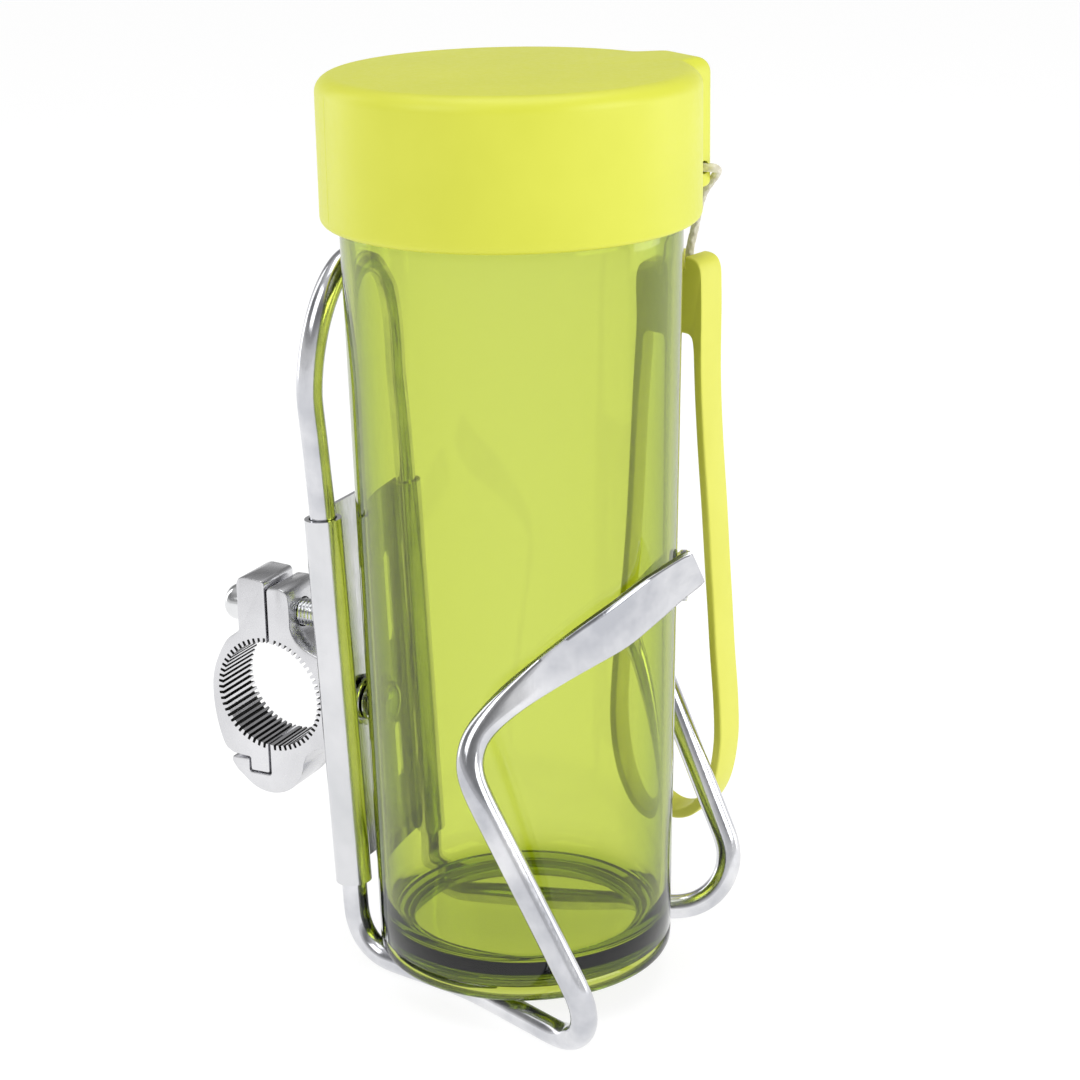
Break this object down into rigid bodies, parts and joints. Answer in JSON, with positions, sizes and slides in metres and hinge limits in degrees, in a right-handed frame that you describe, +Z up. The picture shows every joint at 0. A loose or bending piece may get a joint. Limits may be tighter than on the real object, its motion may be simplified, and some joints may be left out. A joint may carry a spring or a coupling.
{
  "type": "bicycle water bottle with cage",
  "caption": "Clear tumbler-shaped bicycle water bottle with a screw lid and wrist strap, held in a bent-rod cage that clamps to a handlebar.",
  "frame": {"origin": "centre of the handlebar clamp's bore, midway between the clamp's two side faces", "axes": "+X along the handlebar, +Y away from the bottle towards the rider's side of the clamp, +Z up along the bottle towards its lid"},
  "size_m": [0.1079, 0.1223, 0.2054],
  "materials": {
    "clear_green_plastic": "transparent green plastic, polished",
    "lime_plastic": "satin lime plastic",
    "white_silicone": "soft white silicone",
    "cream_cord": "fine braided cord",
    "lime_silicone": "satin lime silicone",
    "polished_aluminium": "bright drawn rod",
    "satin_aluminium": "satin sheet",
    "plated_clamp": "satin bright casting",
    "plated_steel": "bright plated steel"
  },
  "bodies": {
    "cage": {"cage_rod": "polished_aluminium", "back_plate": "satin_aluminium", "plate_bolt": "plated_steel", "plate_washer": "plated_steel", "plate_spring_washer": "plated_steel", "clamp_base": "plated_clamp"},
    "bottle": {"bottle_body": "clear_green_plastic"},
    "lid": {"lid": "lime_plastic", "lid_seal": "white_silicone", "strap_cord": "cream_cord"},
    "strap": {"wrist_strap": "lime_silicone"},
    "jaw": {"clamp_jaw": "plated_clamp"},
    "screw": {"clamp_bolt": "plated_steel"}
  },
  "joints": [
    {"name": "bottle_lift", "type": "slide", "parent": "cage", "child": "bottle", "axis": [0, 0, 1], "range_m": [0, 0.17]},
    {"name": "lid_lift", "type": "slide", "parent": "bottle", "child": "lid", "axis": [0, 0, 1], "range_m": [0, 0.045]},
    {"name": "strap_swing", "type": "hinge", "parent": "lid", "child": "strap", "pos_m": [0.042, -0.0857, 0.1], "axis": [-0.1788, -0.9839, 0], "range_deg": [0, 90]},
    {"name": "jaw_swing", "type": "hinge", "parent": "cage", "child": "jaw", "pos_m": [0, 0.0037, -0.0186], "axis": [-1, 0, 0], "range_deg": [0, 4]},
    {"name": "screw_slide", "type": "slide", "parent": "cage", "child": "screw", "axis": [0, 1, 0], "range_m": [0, 0.0027]}
  ],
  "couplings": [
    {"joint": "screw_slide", "follows": "jaw_swing", "m_per_rad": 0.0382}
  ]
}
